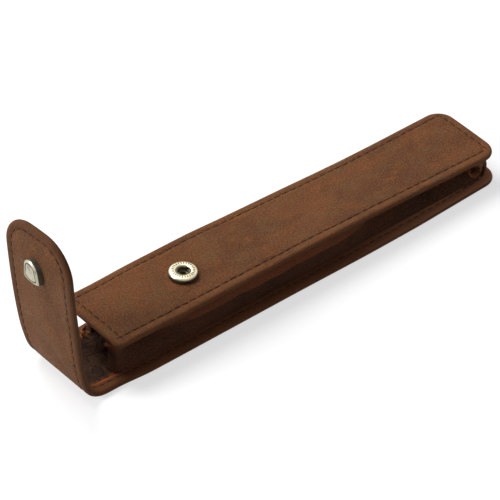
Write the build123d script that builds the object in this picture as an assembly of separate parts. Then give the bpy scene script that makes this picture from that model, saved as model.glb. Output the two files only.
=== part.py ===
from build123d import *
from math import asin, atan2, cos, degrees, radians, sin, sqrt
import os

# A slim case for pens, made of turned-edge leather. A flat back and a front
# are joined along three sides by a folding gusset. The back runs on past the
# mouth as a flap, which folds over twice and closes on the front with a snap.
# Millimetres. +Z is up, +X runs from the mouth to the closed end, and the
# origin is on the underside of the back, below the middle of the front.

# Panels
case_length = 163.4       # front, from its mouth edge to the closed end
front_width = 30.0
strip_width = 31.4        # back and flap, across the folds
back_bow = 1.5            # how far each long side of the back swells outward
bow_start = 6.0           # straight stretch of those sides, from the base fold
closed_corner = 6.4       # plan radius at the closed end
mouth_corner = 1.8        # plan radius of the front's mouth corners
mouth_height = 16.0       # top of the front above the table, at the mouth
closed_height = 12.3      # the same at the closed end

# Layers of a panel, from its outside to its inside
cover_thickness = 0.85     # outer leather
board_thickness = 0.5     # stiffener, level with the seam allowance
hem_thickness = 0.85       # the same leather, turned over the edge
lining_thickness = 0.65    # suede inside the hem, just below its surface
hem_width = 5.0           # from the turned edge to the hem's cut edge
turned_round = 1.0        # radius of the turned edge, on the outside
turned_bevel = 0.55        # the same edge inside, where the hem is pressed flat
cover_wall = 1.0         # leather left outside the board, in plan
least_corner = 1.0        # plan radius where an inset would leave less
layer_clearance = 0.05    # between the edges of neighbouring layers

# Gusset
gusset_thickness = 0.9
gusset_crease = 2.4       # how far its middle stands inward, at both ends
gusset_swell = 5.4        # how far its middle swells back out, halfway along
gusset_chords = 6         # flat stretches that make up each long side
gusset_start = 1.5        # from the front's mouth edge
gusset_flange = 3.4       # how far the sewn flange reaches under the hem

# Flap and its two folds
fold_setback = 1.6        # base fold, outward from the front's mouth edge
fold_gap = 0.8            # closed flap above the front's mouth edge
fold_clearance = 0.15     # round the knuckle of each fold
fold_rest = 27.0          # spine above the table, degrees
flap_rest = 87.7          # flap above the table, degrees
flap_length = 58.0        # upper fold to the tip
tip_corner = 11.5
tip_bow = 2.0             # how far the tip swells between its corners

# Snap
snap_from_mouth = 37.6    # socket axis, along the front from its mouth edge
snap_seat_gap = 0.4       # stud flange above the socket, when closed
snap_clearance = 0.05     # between the snap's own pieces
socket_radius = 4.8
socket_height = 2.4
socket_hole = 2.15        # radius
socket_metal = 0.25       # base plate and lip
socket_wall = 0.5         # between the spring's groove and the hollow round it
socket_shoulder = 0.9     # radius of the rounded outer shoulder
shoulder_facets = 4       # steps that make up its quarter round
socket_bevel = 0.15       # at the hole's rim
spring_wire = 0.5         # across the wire, which is drawn eight-sided
spring_inner = 1.85       # radius inside the relaxed spring
spring_room = 0.35        # for the spring to open
spring_split = 40.0       # opening of the split spring, degrees
post_radius = 1.5         # tubular rivet that holds the socket
post_head_radius = 4.4    # its head, inside the pocket
post_head = 0.6
post_roll = 0.35          # its rolled end, above the socket's base plate
rivet_bevel = 0.12        # at the rims of both rivets
rivet_metal = 0.35        # wall of both tubular rivets
rivet_hole = 0.1          # clearance round both, in the leather
stud_flange_radius = 4.2
stud_flange = 0.5
stud_neck = 1.6           # radius
stud_ball = 1.95          # radius
stud_land = 0.3           # height of the ball's widest band
stud_height = 2.0         # beyond its flange
stud_waist = 1.1          # where the neck ends and the ball starts
stud_metal = 0.3
stud_ledge = 0.2          # inside, from the end of the neck to the rolled rivet
stud_bevel = 0.18         # at the rims of its flange
stud_bore = 1.5           # radius of the room inside it for the rolled rivet
stem_radius = 1.05        # tubular rivet that holds cap and stud
stem_head_radius = 2.4
stem_head = 0.4
stem_roll = 0.35          # its rolled end, inside the stud

# Shield cap, on the outside of the flap
shield_width = 7.6
shield_tip = 5.1          # snap axis to the point
shield_base = 3.65        # snap axis to the far end's middle
shield_shoulder = 2.5     # snap axis to where the sides turn in
shield_shoulder_width = 6.4
shield_base_dip = 0.9     # how far the base corners stand back
shield_swell = 0.4        # bulge of the sides that run to the point
shield_tip_inset = 1.3    # the point draws in by this many times an inset
shield_thickness = 2.2
shield_chamfer = 0.45
shield_border = 0.85      # edge to the groove
shield_groove = 0.35      # width
shield_groove_depth = 0.3
shield_recess = 0.1       # clearance round the rivet's head, in the underside

# Worked out from the sizes above
panel_thickness = cover_thickness + board_thickness + hem_thickness
half_panel = panel_thickness / 2
board_level = cover_thickness + board_thickness
lined = board_level + lining_thickness
mouth_x = -case_length / 2
fold_x = mouth_x - fold_setback
front_tilt = degrees(asin((mouth_height - closed_height) / case_length))
spine_length = mouth_height + fold_gap
knuckle = half_panel + fold_clearance
slot = layer_clearance + gusset_thickness + layer_clearance
inner_edge = hem_width + slot
margin = 1.0              # how far cutting tools reach past what they cut


def strip_plane(x, z, angle):
    """A panel's own plane: x out along the strip, z towards its lined side."""
    a = radians(angle)
    out = Vector(-cos(a), 0, sin(a))
    inward = Vector(sin(a), 0, cos(a))
    outside = Vector(x, 0, z) - inward * half_panel
    return Plane(origin=outside, x_dir=out, z_dir=inward)


def front_plane(depth=0.0, facing=-1):
    """Plane parallel to the front, depth below its top at the mouth edge."""
    a = radians(front_tilt)
    along = Vector(cos(a), 0, -sin(a))
    normal = Vector(sin(a), 0, cos(a))
    origin = Vector(mouth_x, 0, mouth_height) - normal * depth
    return Plane(origin=origin, x_dir=along, z_dir=normal * facing)


spine_end = (
    fold_x - spine_length * cos(radians(fold_rest)),
    half_panel + spine_length * sin(radians(fold_rest)),
)
back_plane = Plane(origin=(fold_x, 0, 0), x_dir=(1, 0, 0), z_dir=(0, 0, 1))
spine_plane = strip_plane(fold_x, half_panel, fold_rest)
flap_plane = strip_plane(spine_end[0], spine_end[1], flap_rest)


def stud_place():
    """Where the stud sits along the flap, so that its ball meets the socket."""
    ball = stud_flange + (stud_waist + stud_height) / 2
    seat = lined - half_panel + ball
    depth = socket_height + snap_seat_gap + stud_flange - ball
    a = radians(front_tilt)
    x = snap_from_mouth * cos(a) + depth * sin(a) + fold_setback
    z = mouth_height - snap_from_mouth * sin(a) + depth * cos(a)
    z = z - (half_panel + spine_length)
    along = sqrt(x * x + z * z - seat * seat)
    rise = degrees(atan2(z, x) + atan2(seat, along))
    return along, rise


stud_along, closed_rise = stud_place()
closing_turn = 90 - closed_rise - (flap_rest - fold_rest)


def long_side(x0, x1, length, half, inset, bow, straight, chords):
    """Long side at positive Y, from x1 back to x0, parallel at any inset."""
    radius = (length * length / 4 + bow * bow) / (2 * bow) if bow else 0

    def point(x):
        if not bow:
            return (x, half - inset)
        run = x - length / 2
        return (x, half + bow - radius + sqrt((radius - inset) ** 2 - run * run))

    def stretch(a, b):
        if chords:
            return Polyline(*[point(a + (b - a) * k / chords) for k in range(chords + 1)])
        if not bow:
            return Line(point(a), point(b))
        return ThreePointArc(point(a), point((a + b) / 2), point(b))

    if straight <= x0:
        return [stretch(x1, x0)]
    turn = point(straight)
    return [stretch(x1, straight), Line(turn, (x0, turn[1]))]


def outline(start, length, width, inset=0.0, side_bow=0.0, end_bow=0.0,
            start_corner=0.0, end_corner=0.0, straight=-case_length, chords=0):
    """Plan of a panel: straight at its start, with rounded corners."""
    x1 = length - inset - end_bow
    far = long_side(start, x1, length, width / 2, inset, side_bow, straight, chords)
    near = [edge.mirror(Plane.XZ) for edge in far]
    if end_bow:
        end = ThreePointArc(near[0] @ 0, (length - inset, 0), far[0] @ 0)
    else:
        end = Line(near[0] @ 0, far[0] @ 0)
    plan = make_face([end, Line(far[-1] @ 1, near[-1] @ 1)] + far + near)
    ends = plan.vertices().group_by(Axis.X)[-1]
    plan = fillet(ends, max(end_corner - inset, least_corner))
    if start_corner:
        starts = plan.vertices().group_by(Axis.X)[0]
        plan = fillet(starts, start_corner)
    return plan


def back_plan(inset=0.0, start=None, chords=0):
    first = -panel_thickness - margin if start is None else start
    return outline(first, case_length + fold_setback, strip_width, inset, side_bow=back_bow,
                   end_corner=closed_corner, straight=bow_start, chords=chords)


def front_plan(inset=0.0):
    corner = max(mouth_corner - inset, 0.0)
    return outline(inset, case_length, front_width, inset,
                   start_corner=corner, end_corner=closed_corner)


def open_front_plan(inset, start, swell=0.0, chords=0):
    """The front's plan for the gusset, open-ended and divided as the back's is."""
    return outline(start, case_length, front_width, inset, side_bow=swell,
                   end_corner=closed_corner, straight=bow_start - fold_setback, chords=chords)


def flap_plan(inset=0.0):
    return outline(-panel_thickness - margin, flap_length, strip_width, inset,
                   end_bow=tip_bow, end_corner=tip_corner)


def spine_plan(inset=0.0):
    reach = spine_length + panel_thickness + 2 * margin
    start = -panel_thickness - margin
    middle = (start + reach) / 2
    return Pos(middle, 0) * Rectangle(reach - start, strip_width - 2 * inset)


def layer(plan, bottom, thickness):
    """A flat sheet of the given plan between two levels of a panel."""
    return extrude(Pos(0, 0, bottom) * plan, amount=thickness, dir=(0, 0, 1))


def all_edges(slab):
    return slab.edges()


def long_edges(slab):
    return slab.edges().filter_by(Axis.X)


def turned(plan, edges=all_edges):
    """A full-thickness slab with turned edges: rounded outside, pressed inside."""
    slab = layer(plan, 0, panel_thickness)
    slab = fillet(edges(slab).group_by(Axis.Z)[0], turned_round)
    return chamfer(edges(slab).group_by(Axis.Z)[-1], turned_bevel)


def cross_box(x0, x1, z0, z1):
    """A box across the full width of the case."""
    size = (x1 - x0, 2 * strip_width, z1 - z0)
    return Pos((x0 + x1) / 2, 0, (z0 + z1) / 2) * Box(*size)


def cross_prism(edges):
    """Stretch a side profile, drawn in X and Z, across the full width."""
    return extrude(make_face(edges), amount=strip_width, dir=(0, 1, 0), both=True)


def knuckle_start(piece):
    """Round a strip's start about its fold axis."""
    reach = -panel_thickness - 3 * margin
    low = -margin
    high = panel_thickness + margin
    waste = [
        ThreePointArc((0, 0, 0), (-half_panel, 0, half_panel), (0, 0, panel_thickness)),
        Polyline((0, 0, panel_thickness), (0, 0, high), (reach, 0, high), (reach, 0, low),
                 (0, 0, low), (0, 0, 0)),
    ]
    return piece - cross_prism(waste)


def seat_profile(x, side):
    """Waste cut from a strip so that the next strip's knuckle turns in it."""
    reach = x - side * (panel_thickness + 4 * margin)
    low = half_panel - knuckle
    high = panel_thickness + margin
    diagonal = knuckle * sqrt(0.5)
    return [
        ThreePointArc((x, 0, low), (x + side * diagonal, 0, half_panel - diagonal),
                      (x + side * knuckle, 0, half_panel)),
        Polyline((x + side * knuckle, 0, half_panel), (x + side * knuckle, 0, high),
                 (reach, 0, high), (reach, 0, -margin), (x, 0, -margin), (x, 0, low)),
    ]


def seat_start(piece):
    """Hollow a strip's start for the strip before it."""
    return piece - cross_prism(seat_profile(0, 1))


def seat_end(piece, x):
    """Hollow a strip's far end, about a fold axis at x."""
    return piece - cross_prism(seat_profile(x, -1))


def hole(x, radius):
    """A hole through every layer of a panel."""
    depth = panel_thickness + 2 * margin
    return Pos(x, 0, half_panel) * Cylinder(radius, depth)


def back_panel():
    """Back: leather, board and lining, hollowed for the base fold."""
    leather = turned(back_plan())
    leather -= layer(back_plan(cover_wall), cover_thickness, board_thickness)
    leather -= layer(back_plan(hem_width), board_level, hem_thickness + margin)
    board = layer(back_plan(inner_edge), cover_thickness, board_thickness)
    lining = layer(back_plan(inner_edge), board_level, lining_thickness)
    mouth_end = fold_setback + gusset_start - layer_clearance
    bare = layer(back_plan(hem_width + layer_clearance), board_level, lining_thickness)
    lining += bare & cross_box(-panel_thickness - 2 * margin, mouth_end, 0, panel_thickness)
    pieces = {"back_leather": leather, "back_board": board, "back_lining": lining}
    return {name: back_plane.location * seat_start(s) for name, s in pieces.items()}


def front_panel():
    """Front: the same layers turned over, pierced for the socket's rivet."""
    leather = turned(front_plan())
    leather -= layer(front_plan(cover_wall), cover_thickness, board_thickness)
    leather -= layer(front_plan(hem_width), board_level, hem_thickness + margin)
    board = layer(front_plan(inner_edge), cover_thickness, board_thickness)
    lining = layer(front_plan(inner_edge), board_level, lining_thickness)
    pierced = hole(snap_from_mouth, post_radius + rivet_hole)
    pieces = {"front_leather": leather, "front_board": board, "front_lining": lining}
    return {name: front_plane().location * (s - pierced) for name, s in pieces.items()}


def spine():
    """The stretch between the two folds: leather and lining, with no board."""
    channel = panel_thickness - hem_thickness
    leather = turned(spine_plan(), long_edges)
    leather -= layer(spine_plan(hem_width), channel, hem_thickness + margin)
    lining = layer(spine_plan(hem_width + layer_clearance), channel, lining_thickness)
    pieces = {"spine_leather": leather, "spine_lining": lining}
    return {name: spine_plane.location * seat_end(knuckle_start(s), spine_length)
            for name, s in pieces.items()}


def flap_panel():
    """Flap: leather, board and lining, rounded at the upper fold."""
    leather = turned(flap_plan())
    board_plan = flap_plan(cover_wall + layer_clearance)
    leather -= layer(flap_plan(cover_wall), cover_thickness, board_thickness)
    leather -= layer(flap_plan(hem_width), board_level, hem_thickness + margin)
    board = layer(board_plan, cover_thickness, board_thickness)
    lining = layer(flap_plan(hem_width + layer_clearance), board_level, lining_thickness)
    pierced = hole(stud_along, stem_radius + rivet_hole)
    pieces = {"flap_leather": leather, "flap_board": board, "flap_lining": lining}
    return {name: flap_plane.location * (knuckle_start(s) - pierced)
            for name, s in pieces.items()}


def gusset_sections(extra):
    """Plans of the gusset's wall, from its foot in the back to its head in the front."""
    inset = hem_width + layer_clearance + extra
    start = -3 * margin + extra
    foot = back_plan(inset, start + fold_setback, gusset_chords)
    head = open_front_plan(inset, start, 0.0, gusset_chords)
    crease = open_front_plan(inset + gusset_crease, start, gusset_swell, gusset_chords)
    low = cover_thickness + layer_clearance
    gap = (mouth_height - 2 * panel_thickness) / 2
    sag = asin((mouth_height - closed_height) / 2 / case_length)
    middle = Plane(origin=(mouth_x, 0, panel_thickness + gap),
                   x_dir=(cos(sag), 0, -sin(sag)), z_dir=(sin(sag), 0, cos(sag)))
    return [
        back_plane.location * Pos(0, 0, low) * foot,
        back_plane.location * Pos(0, 0, panel_thickness) * foot,
        middle.location * crease,
        front_plane(panel_thickness, 1).location * head,
        front_plane(low, 1).location * head,
    ]


def gusset():
    """Thin folding wall round three sides, its edges sewn inside the hems."""
    wall = loft(gusset_sections(0.0), ruled=True)
    wall -= loft(gusset_sections(gusset_thickness), ruled=True)
    low = cover_thickness + layer_clearance
    thickness = board_thickness - 2 * layer_clearance
    outer = hem_width - gusset_flange
    inner = hem_width + layer_clearance + gusset_thickness
    foot = layer(back_plan(outer), low, thickness) - layer(back_plan(inner), low, thickness)
    head = layer(open_front_plan(outer, -margin), low, thickness)
    head -= layer(open_front_plan(inner, -2 * margin), low, thickness)
    wall += back_plane.location * foot
    wall += front_plane().location * head
    mouth_hem = cross_box(-case_length, hem_width + layer_clearance,
                          board_level - layer_clearance, panel_thickness + layer_clearance)
    wall -= front_plane().location * mouth_hem
    start = mouth_x + gusset_start
    return wall - cross_box(start - case_length, start, -margin, 2 * mouth_height)


def disc(radius, z0, z1):
    return Pos(0, 0, (z0 + z1) / 2) * Cylinder(radius, z1 - z0)


def ring(outer, inner, z0, z1):
    return disc(outer, z0, z1) - disc(inner, z0 - margin, z1 + margin)


def top_rims(body):
    return body.edges().filter_by(GeomType.CIRCLE).group_by(Axis.Z)[-1]


def socket_shell():
    """Pressed socket: rounded shoulder, flat face, and a groove for the spring."""
    lip = socket_height - socket_metal
    groove = spring_inner + spring_wire + spring_room
    shoulder = [
        (socket_radius - socket_shoulder * (1 - cos(a)), 0,
         socket_height - socket_shoulder * (1 - sin(a)))
        for a in (radians(90 * step / shoulder_facets) for step in range(shoulder_facets + 1))
    ]
    section = Polyline((0, 0, 0), (socket_radius, 0, 0), *shoulder, (0, 0, socket_height),
                       close=True)
    body = revolve(make_face(section), Axis.Z, 360)
    body -= disc(socket_hole, socket_metal, socket_height + margin)
    body = chamfer(top_rims(body).sort_by(SortBy.RADIUS)[0], socket_bevel)
    body -= ring(groove, socket_hole - socket_bevel, lip - spring_wire - 2 * snap_clearance, lip)
    body -= ring(socket_radius - 2 * socket_metal, groove + socket_wall,
                 -margin, socket_height - socket_shoulder)
    return body - disc(post_radius + snap_clearance, -margin, socket_height)


def ring_spring():
    """Split wire ring that grips the stud, under the socket's lip."""
    middle = spring_inner + spring_wire / 2
    level = socket_height - socket_metal - snap_clearance - spring_wire / 2
    wire = RegularPolygon(spring_wire / 2, 8, major_radius=False, rotation=22.5)
    section = Plane.XZ.location * Pos(middle, level) * wire
    coil = revolve(section, Axis.Z, 360 - spring_split)
    return Rot(0, 0, spring_split / 2) * coil


def tube_rivet(radius, head_radius, head, grip, roll):
    """Tubular rivet: its head below zero, then the grip, then the rolled end."""
    flat = disc(head_radius, -head, 0)
    body = chamfer(flat.edges().filter_by(GeomType.CIRCLE).group_by(Axis.Z)[0], rivet_bevel)
    body += disc(radius, -head / 2, grip + roll / 2)
    curl = disc(radius + rivet_metal, grip, grip + roll)
    body += chamfer(curl.edges().filter_by(GeomType.CIRCLE), rivet_bevel)
    return body - disc(radius - rivet_metal, -head / 2, grip + roll + margin)


def stud():
    """Hollow ball stud on a flange, which lies on the flap's lining."""
    full = (stud_waist + stud_height) / 2
    tip = stud_flange + stud_height
    section = Polyline(
        (0, 0, tip), (0, 0, 0), (stud_flange_radius, 0, 0),
        (stud_flange_radius, 0, stud_flange), (stud_neck, 0, stud_flange),
        (stud_neck, 0, stud_flange + stud_waist),
        (stud_ball, 0, stud_flange + full - stud_land / 2),
        (stud_ball, 0, stud_flange + full + stud_land / 2), (stud_neck, 0, tip),
        close=True)
    body = revolve(make_face(section), Axis.Z, 360)
    widest = body.edges().filter_by(GeomType.CIRCLE).sort_by(SortBy.RADIUS)[-2:]
    body = chamfer(widest, stud_bevel)
    ledge = stem_ledge()
    body -= disc(stem_radius + snap_clearance, -margin, ledge)
    return body - disc(stud_bore, ledge, tip - stud_metal)


def stem_ledge():
    """Level inside the stud where the cap's rivet is rolled over."""
    return stud_flange + stud_waist + stud_ledge


def shield_plan(inset=0.0):
    """Heater shield on the snap axis, its point towards the flap's tip."""
    half = shield_width / 2 - inset
    shoulder = shield_shoulder_width / 2 - inset
    base = inset - shield_base
    corner = base + shield_base_dip
    turn = shield_shoulder - inset / 2
    tip = shield_tip - shield_tip_inset * inset
    middle = (turn + tip) / 2
    swell = shield_swell
    bottom = ThreePointArc((corner, -half), (base, 0), (corner, half))
    side = [
        Line((corner, half), (turn, shoulder)),
        ThreePointArc((turn, shoulder), (middle + swell, shoulder / 2 + swell), (tip, 0)),
    ]
    return make_face([bottom] + side + [edge.mirror(Plane.XZ) for edge in side])


def shield_cap():
    """Cast cap in the form of a shield, with a grooved border and a plain field."""
    body = extrude(shield_plan(), amount=shield_thickness)
    body = chamfer(body.faces().sort_by(Axis.Z)[-1].edges(), shield_chamfer)
    groove = extrude(shield_plan(shield_border), amount=margin)
    groove -= extrude(shield_plan(shield_border + shield_groove), amount=margin)
    body -= Pos(0, 0, shield_thickness - shield_groove_depth) * groove
    return body - disc(stem_head_radius + shield_recess, -margin, stem_head + shield_recess)


def snap():
    """Socket, spring and rivet on the front; cap, rivet and stud on the flap."""
    on_front = front_plane(0, 1).location * Pos(snap_from_mouth, 0, 0)
    on_flap = flap_plane.location * Pos(stud_along, 0, 0)
    outward = Rot(180, 0, 0)
    post = tube_rivet(post_radius, post_head_radius, post_head,
                      lined + socket_metal, post_roll)
    stem = tube_rivet(stem_radius, stem_head_radius, stem_head,
                      lined + stem_ledge(), stem_roll)
    return {
        "socket_shell": on_front * socket_shell(),
        "ring_spring": on_front * ring_spring(),
        "socket_post": on_front * Pos(0, 0, -lined) * post,
        "shield_cap": on_flap * outward * shield_cap(),
        "cap_rivet": on_flap * stem,
        "stud": on_flap * Pos(0, 0, lined) * stud(),
    }


def build():
    nodes = {}
    nodes.update(back_panel())
    nodes.update(spine())
    nodes.update(flap_panel())
    nodes.update(front_panel())
    nodes["gusset"] = gusset()
    nodes.update(snap())
    return nodes


print(f"Closed: base fold turns {90 - fold_rest:.2f}, upper fold {closing_turn:.2f} degrees")
os.makedirs("parts", exist_ok=True)
for name, solid in build().items():
    export_step(solid, f"parts/{name}.step")
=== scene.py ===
import bpy
import bmesh
import math
import numpy as np
from mathutils import Matrix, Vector
from mathutils.geometry import delaunay_2d_cdt


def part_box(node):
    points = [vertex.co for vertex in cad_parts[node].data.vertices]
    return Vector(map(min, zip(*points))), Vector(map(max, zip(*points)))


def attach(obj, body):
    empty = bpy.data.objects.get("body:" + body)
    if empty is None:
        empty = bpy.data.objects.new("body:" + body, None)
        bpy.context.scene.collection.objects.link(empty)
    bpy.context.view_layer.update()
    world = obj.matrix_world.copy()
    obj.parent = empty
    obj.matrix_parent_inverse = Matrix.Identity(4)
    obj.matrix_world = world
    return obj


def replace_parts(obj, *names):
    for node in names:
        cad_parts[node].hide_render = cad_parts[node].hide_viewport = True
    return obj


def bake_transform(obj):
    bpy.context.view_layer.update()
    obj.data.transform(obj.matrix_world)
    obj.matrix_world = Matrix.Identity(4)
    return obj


# Lengths are millimetres until a mesh is made. The ends of the blends, the
# floor, the lamps and the materials' bumps are in metres.
# A panel is drawn flat as (u, v, h): u along it, v across it, and h inward
# from its outside face. The strip's u is 0 at the base fold, below 0 on the
# back and above 0 towards the flap's tip. The front's u starts at its mouth.

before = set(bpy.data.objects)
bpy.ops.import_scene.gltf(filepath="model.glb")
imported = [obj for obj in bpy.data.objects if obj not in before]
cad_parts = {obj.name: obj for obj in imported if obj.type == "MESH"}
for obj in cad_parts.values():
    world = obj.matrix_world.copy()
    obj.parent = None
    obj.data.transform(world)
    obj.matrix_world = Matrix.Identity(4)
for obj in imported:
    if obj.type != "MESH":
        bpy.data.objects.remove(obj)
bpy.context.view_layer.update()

MM = 0.001
THICK = 2.2  # of a panel at its hem
FOLD_X = -83.3  # the base fold
STRIP_END = -165.0  # the strip's u at the closed end
STRIP_TIP = 72.7  # the strip's u at the flap's tip
SEAM = 21.0  # the u at which the strip is parted into two meshes
MOUTH_X = -81.7
FRONT_LENGTH = 163.4
MOUTH_TOP = 16.0  # height of the front's outside at the mouth
END_TOP = 12.3  # and at the closed end
STITCH_INSET = 3.0
STITCH_PITCH = 3.3
LINED = 2.0  # level of a panel's lining
BOARD_LEVEL = 1.35  # level of the lining's back
HEM_FLOOR = 1.3  # level of the cover's inside beyond the hem


def smooth(t):
    t = np.clip(t, 0.0, 1.0)
    return t * t * (3.0 - 2.0 * t)


# The strip's middle line, from the photographed profile of the fold. Each bend
# is its angle in degrees, the u where it starts and the length it takes.
BENDS = ((75.8, 2.0, 15.2), (8.7, 13.2, 18.0), (4.7, 30.0, 45.0))
LINE_STEP = 0.1
LINE_U = np.arange(-6.0, 90.0, LINE_STEP)
LINE_TURN = np.radians(sum(turn * smooth((LINE_U - start) / length)
                           for turn, start, length in BENDS))


def summed(rate):
    total = np.concatenate([[0.0], np.cumsum((rate[1:] + rate[:-1]) / 2 * LINE_STEP)])
    return total - np.interp(0.0, LINE_U, total)


LINE_X = FOLD_X + summed(-np.cos(LINE_TURN))
LINE_Z = THICK / 2 + summed(np.sin(LINE_TURN))

SKEW, SKEW_AT, SKEW_OVER = 0.9, 15.0, 40.0  # the flap stands out of square
NARROWED, NARROWED_OVER = 0.048, 14.0  # the strip narrows up to the fold
WIDENED, WIDENED_OVER = 0.015, 16.0  # and widens a little beyond it


def place_strip(u, v, h):
    """Where a point of the strip stands at rest."""
    u, v, h = (np.asarray(a, float) for a in (u, v, h))
    turn = np.interp(u, LINE_U, LINE_TURN)
    x = np.where(u < LINE_U[0], FOLD_X - u, np.interp(u, LINE_U, LINE_X))
    z = np.where(u < LINE_U[0], THICK / 2, np.interp(u, LINE_U, LINE_Z))
    x = x + np.sin(turn) * (h - THICK / 2)
    z = z + np.cos(turn) * (h - THICK / 2)
    x = x - SKEW * v / SKEW_AT * smooth(u / SKEW_OVER)
    y = v * (1 - NARROWED * smooth((u + NARROWED_OVER) / NARROWED_OVER)
             + WIDENED * smooth(u / WIDENED_OVER))
    return np.stack([x, y, z], -1)


def table(x, pairs, steps=400, rounds=60):
    """A curve near the (place, value) pairs, smoother with more rounds."""
    xs, ys = np.array(pairs, float).T
    fine = np.linspace(xs[0], xs[-1], steps)
    line = np.interp(fine, xs, ys)
    for _ in range(rounds):
        line[1:-1] = (line[:-2] + 2 * line[1:-1] + line[2:]) / 4
    return np.interp(x, fine, line)


# How far the front's far and near edges stand above its plane, along u
FAR_WAVE = [(0, 0.0), (12, 0.0), (25, 0.7), (40, 1.0), (52, 1.15), (65, 0.7), (78, 0.45),
            (92, 0.25), (105, -0.1), (118, -0.3), (131, -0.2), (146, 0.15), (163.4, 0.5)]
NEAR_WAVE = [(0, 0.0), (12, 0.1), (25, 0.0), (41, 0.3), (58, 0.6), (75, 0.9), (92, 0.9),
             (110, 0.8), (127, 0.5), (145, 0.2), (163.4, 0.0)]
WAVE_HALF = 15.0
CROWN, CROWN_LENGTH = 0.2, 21.0

FRONT_FALL = math.asin((MOUTH_TOP - END_TOP) / FRONT_LENGTH)
FRONT_SIDEWAYS = 0.35  # the front lies this far to the far side
RING_LIFT = 0.1  # keeps the ring's foot out of the leather
SNAP_HOLD = 10.0  # how far round it the snap holds the front down
SNAP_HOLE = 2.05  # radius of the hole that the socket sits over
low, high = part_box("socket_shell")
socket_centre = [(low.x + high.x) / 2 / MM, (low.y + high.y) / 2 / MM, low.z / MM + RING_LIFT]
SNAP_U = (socket_centre[0] - MOUTH_X) / math.cos(FRONT_FALL)
SNAP_V = socket_centre[1] - FRONT_SIDEWAYS


def front_wave(u, v):
    """How far the front stands above its plane. The snap holds it down."""
    far = smooth((v + WAVE_HALF) / (2 * WAVE_HALF))
    wave = far * table(u, FAR_WAVE) + (1 - far) * table(u, NEAR_WAVE)
    wave = wave + CROWN * (1 - (v / WAVE_HALF) ** 2) * np.sin(u / CROWN_LENGTH)
    return wave * (1 - np.exp(-(np.hypot(u - SNAP_U, v - SNAP_V) / SNAP_HOLD) ** 3))


def place_front(u, v, h):
    """Where a point of the front stands at rest."""
    u, v, h = (np.asarray(a, float) for a in (u, v, h))
    lift = front_wave(u, v) - h
    x = MOUTH_X + u * math.cos(FRONT_FALL) + lift * math.sin(FRONT_FALL)
    z = MOUTH_TOP - u * math.sin(FRONT_FALL) + lift * math.cos(FRONT_FALL)
    return np.stack([x, v + FRONT_SIDEWAYS, z], -1)


BOW_FROM, BOW_OVER = 24.0, 16.0  # where a bowed tip starts, and how soon it is full
QUARTER = 1.6  # length of a quarter turn over its radius
LEAST_CORNER = 0.4


def beside(step):
    """Unit vectors to the left of each (u, v) step."""
    normal = np.stack([-step[:, 1], step[:, 0]], 1)
    return normal / (np.linalg.norm(normal, axis=1)[:, None] + 1e-9)


class Outline:
    """A rounded oblong in (u, v), with insets whose points are numbered alike.
    drift is how far it lies towards -v along u, tip how far its end at u1 is
    bowed out, and power the form of the corners there, 2 for round."""

    def __init__(self, u0, u1, half, r0, r1, pitch, drift=None, tip=0.0, power=2.0):
        self.u0, self.u1, self.half = u0, u1, half
        self.r0, self.r1 = r0, r1
        self.drift, self.tip, self.power = drift, tip, power
        self.n_long = int((u1 - u0 - r0 - r1) / pitch)
        self.n_end0 = max(2, int((2 * half - 2 * r0) / pitch))
        self.n_end1 = max(2, int((2 * half - 2 * r1) / pitch))
        self.n_arc0 = max(5, int(r0 * QUARTER / pitch))
        self.n_arc1 = max(5, int(r1 * QUARTER / pitch))

    def ring(self, d):
        """The points of the outline at an inset."""
        ra, rb = max(self.r0 - d, LEAST_CORNER), max(self.r1 - d, LEAST_CORNER)
        a, b, w = self.u0 + d, self.u1 - d, self.half - d
        out = []

        def side(p, q, n):
            for k in range(n):
                t = k / n
                out.append((p[0] + (q[0] - p[0]) * t, p[1] + (q[1] - p[1]) * t))

        def arc(cu, cv, r, start, n, power=2.0):
            for k in range(n):
                t = start + math.pi / 2 * k / n
                c, s = math.cos(t), math.sin(t)
                out.append((cu + r * math.copysign(abs(c) ** (2 / power), c),
                            cv + r * math.copysign(abs(s) ** (2 / power), s)))

        side((a + ra, -w), (b - rb, -w), self.n_long)
        arc(b - rb, -w + rb, rb, -math.pi / 2, self.n_arc1, self.power)
        side((b, -w + rb), (b, w - rb), self.n_end1)
        arc(b - rb, w - rb, rb, 0.0, self.n_arc1, self.power)
        side((b - rb, w), (a + ra, w), self.n_long)
        arc(a + ra, w - ra, ra, math.pi / 2, self.n_arc0)
        side((a, w - ra), (a, -w + ra), self.n_end0)
        arc(a + ra, -w + ra, ra, math.pi, self.n_arc0)
        return np.array(out)

    def inset(self, u, v):
        """Distance in from the edge, of a point of the flattened panel."""
        mid = (self.u0 + self.u1) / 2
        r = np.where(u < mid, self.r0, self.r1)
        qu = np.abs(u - mid) - (self.u1 - self.u0) / 2 + r
        qv = np.abs(v) - self.half + r
        outside = np.hypot(np.maximum(qu, 0), np.maximum(qv, 0))
        return -(outside + np.minimum(np.maximum(qu, qv), 0) - r)

    def moved(self, u, v):
        """How far a point is bowed outward, and how far it has drifted."""
        push = self.tip * (1 - np.clip(np.abs(v) / self.half, 0, 1) ** 2)
        drift = table(u, self.drift) if self.drift else 0.0
        return push * smooth((u - self.u1 + BOW_FROM) / BOW_OVER), drift

    def swollen(self, u, v):
        """The outline's points, drifted sideways, with the tip bowed outward."""
        u, v = np.asarray(u, float), np.asarray(v, float)
        push, drift = self.moved(u, v)
        return u + push, v - drift

    def flattened(self, u, v):
        """Undoes swollen(), closely enough to find a stitch's inset."""
        push, drift = self.moved(u, v)
        return u - push, v + drift


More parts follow.
